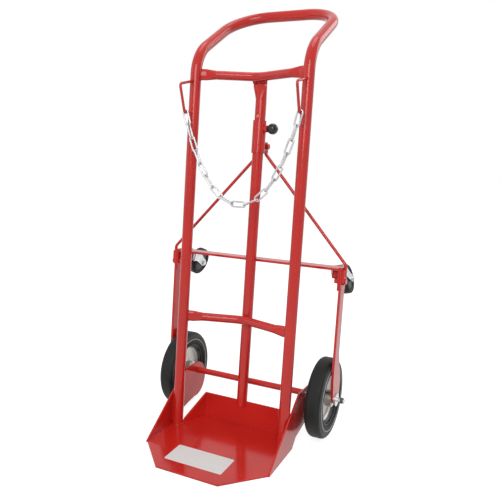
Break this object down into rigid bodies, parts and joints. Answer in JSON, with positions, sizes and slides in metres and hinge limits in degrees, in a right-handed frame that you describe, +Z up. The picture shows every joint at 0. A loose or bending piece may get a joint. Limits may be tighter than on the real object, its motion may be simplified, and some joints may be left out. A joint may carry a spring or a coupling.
{
  "type": "cylinder hand truck",
  "caption": "Upright tube-frame hand truck for a gas cylinder, with toe tray, restraint chain, road wheels and a fold-back rear support on castors linked to a sliding sleeve.",
  "frame": {"origin": "on the floor, midway between the uprights where their axes meet it", "axes": "+X to the right seen from the front, -Y to the front where the toe tray is, +Z up"},
  "size_m": [0.5136, 0.5105, 1.065],
  "materials": {
    "frame_paint": "gloss",
    "support_paint": "gloss",
    "zinc": "satin",
    "chain_zinc": "satin",
    "rim_metal": "satin",
    "tyre_rubber": "matte",
    "castor_core": "matte",
    "dark_steel": "satin",
    "bush_metal": "satin",
    "knob_plastic": "gloss"
  },
  "bodies": {
    "truck_frame": {"frame_loop": "frame_paint", "upper_crossbar": "frame_paint", "mid_crossbar": "frame_paint", "centre_tube": "frame_paint", "toe_tray": "frame_paint", "left_gusset": "frame_paint", "right_gusset": "frame_paint", "axle": "frame_paint", "left_chain_hook": "frame_paint", "right_chain_hook": "frame_paint", "stop_rivet": "frame_paint", "left_axle_spacer": "zinc", "left_inner_washer": "zinc", "left_outer_washer": "zinc", "left_end_spacer": "zinc", "left_split_pin": "zinc", "right_axle_spacer": "zinc", "right_inner_washer": "zinc", "right_outer_washer": "zinc", "right_end_spacer": "zinc", "right_split_pin": "zinc", "left_axle_nut": "dark_steel", "right_axle_nut": "dark_steel"},
    "rear_support": {"left_arm": "support_paint", "right_arm": "support_paint", "left_castor_bracket": "support_paint", "right_castor_bracket": "support_paint", "rear_crossbar": "support_paint", "left_link_rivet": "support_paint", "right_link_rivet": "support_paint", "left_kingpin": "zinc", "left_kingpin_nut": "zinc", "left_castor_race": "zinc", "right_kingpin": "zinc", "right_kingpin_nut": "zinc", "right_castor_race": "zinc"},
    "link_pair": {"left_link": "support_paint", "right_link": "support_paint"},
    "slide_sleeve": {"sleeve": "support_paint", "apex_bolt": "zinc", "apex_nut": "zinc"},
    "clamp_knob_turn": {"clamp_screw": "zinc", "ball_knob": "knob_plastic"},
    "restraint_chain": {"chain_links": "chain_zinc"},
    "left_road_wheel": {"left_tyre": "tyre_rubber", "left_rim": "rim_metal", "left_hub_bush": "bush_metal"},
    "left_castor_swivel": {"left_castor_fork": "zinc", "left_castor_axle": "zinc"},
    "left_castor_roller": {"left_castor_core": "castor_core", "left_castor_tyre": "tyre_rubber"},
    "right_road_wheel": {"right_tyre": "tyre_rubber", "right_rim": "rim_metal", "right_hub_bush": "bush_metal"},
    "right_castor_swivel": {"right_castor_fork": "zinc", "right_castor_axle": "zinc"},
    "right_castor_roller": {"right_castor_core": "castor_core", "right_castor_tyre": "tyre_rubber"}
  },
  "joints": [
    {"name": "support_fold", "type": "hinge", "parent": "truck_frame", "child": "rear_support", "pos_m": [0, 0.129, 0.1], "axis": [-1, 0, 0], "range_deg": [0, 45]},
    {"name": "link_fold", "type": "hinge", "parent": "rear_support", "child": "link_pair", "pos_m": [0, 0.13146, 0.40107], "axis": [1, 0, 0], "range_deg": [0, 89.24]},
    {"name": "sleeve_fold", "type": "hinge", "parent": "link_pair", "child": "slide_sleeve", "pos_m": [0, 0.1638, 0.71344], "axis": [-1, 0, 0], "range_deg": [0, 44.24]},
    {"name": "clamp_turn", "type": "hinge", "parent": "slide_sleeve", "child": "clamp_knob_turn", "pos_m": [0, 0.13844, 0.75631], "axis": [1, 0, 0], "range_deg": [0, 540]},
    {"name": "left_wheel_spin", "type": "hinge", "parent": "truck_frame", "child": "left_road_wheel", "pos_m": [-0.204, 0.129, 0.1], "axis": [1, 0, 0], "continuous": true},
    {"name": "left_castor_turn", "type": "hinge", "parent": "rear_support", "child": "left_castor_swivel", "pos_m": [-0.211, 0.15866, 0.41375], "axis": [0, 0.9962, -0.0872], "continuous": true},
    {"name": "left_castor_spin", "type": "hinge", "parent": "left_castor_swivel", "child": "left_castor_roller", "pos_m": [-0.21669, 0.22107, 0.38695], "axis": [0.9659, -0.0226, -0.2578], "continuous": true},
    {"name": "right_wheel_spin", "type": "hinge", "parent": "truck_frame", "child": "right_road_wheel", "pos_m": [0.204, 0.129, 0.1], "axis": [1, 0, 0], "continuous": true},
    {"name": "right_castor_turn", "type": "hinge", "parent": "rear_support", "child": "right_castor_swivel", "pos_m": [0.211, 0.15866, 0.41375], "axis": [0, 0.9962, -0.0872], "continuous": true},
    {"name": "right_castor_spin", "type": "hinge", "parent": "right_castor_swivel", "child": "right_castor_roller", "pos_m": [0.21669, 0.22107, 0.38695], "axis": [0.9659, 0.0226, 0.2578], "continuous": true},
    {"name": "chain_swing", "type": "hinge", "parent": "truck_frame", "child": "restraint_chain", "pos_m": [0, 0.03081, 0.79629], "axis": [1, 0, 0], "range_deg": [-20, 10]}
  ],
  "couplings": [
    {"joint": "link_fold", "follows": "support_fold", "ratio": 1.972},
    {"joint": "sleeve_fold", "follows": "support_fold", "ratio": 0.972}
  ]
}
